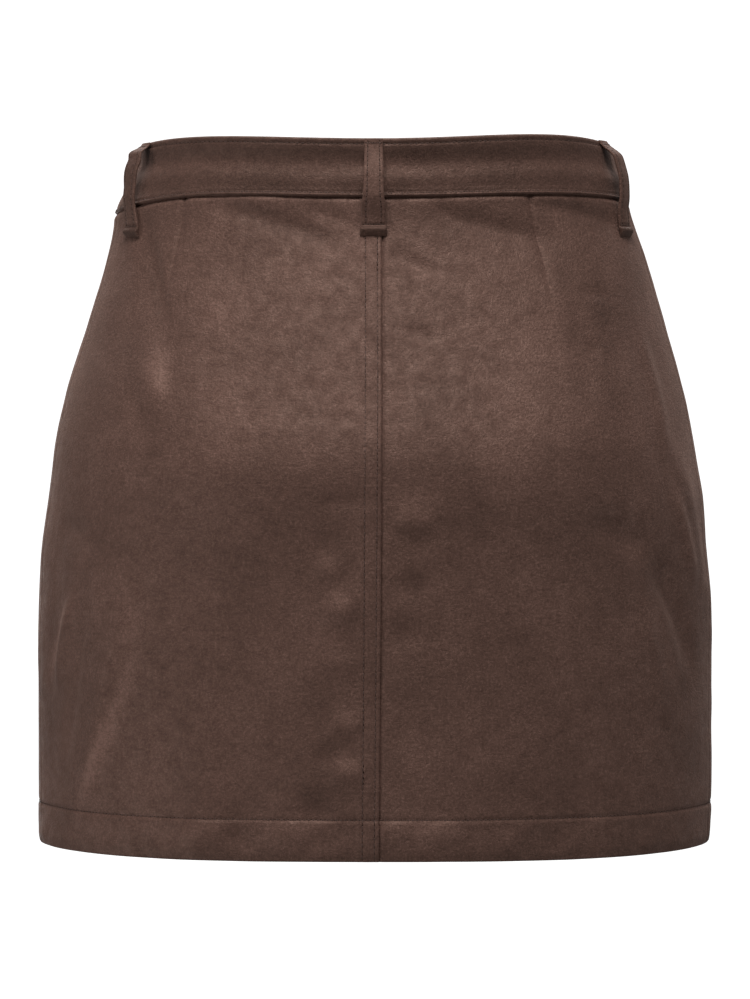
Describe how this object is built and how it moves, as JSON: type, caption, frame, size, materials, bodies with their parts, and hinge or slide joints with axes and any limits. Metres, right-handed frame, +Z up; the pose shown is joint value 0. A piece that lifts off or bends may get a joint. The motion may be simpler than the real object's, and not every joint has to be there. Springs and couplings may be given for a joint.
{
  "type": "faux suede skirt",
  "caption": "Short straight skirt of faux suede with a shaped waistband, belt loops, a topstitched centre back seam and a turned-up hem, hollow as worn.",
  "frame": {"origin": "centre of the waistband ring, at the middle of its height, where the wearer's waist holds the skirt", "axes": "+Z up along the body, +Y out of the centre back seam, +X to the wearer's left"},
  "size_m": [0.3816, 0.2484, 0.3997],
  "materials": {
    "suede": "brown faux suede with a short brushed nap",
    "thread": "matte sewing thread in the cloth's own brown",
    "button": "dark brown, satin"
  },
  "bodies": {
    "root": {"back_left": "suede", "back_right": "suede", "front_left": "suede", "front_right": "suede", "waistband_back": "suede", "waistband_front_left": "suede", "waistband_front_right": "suede", "belt_loop_back": "suede", "belt_loop_left": "suede", "belt_loop_right": "suede", "belt_loop_front_left": "suede", "belt_loop_front_right": "suede", "waist_button": "button"}
  },
  "joints": []
}
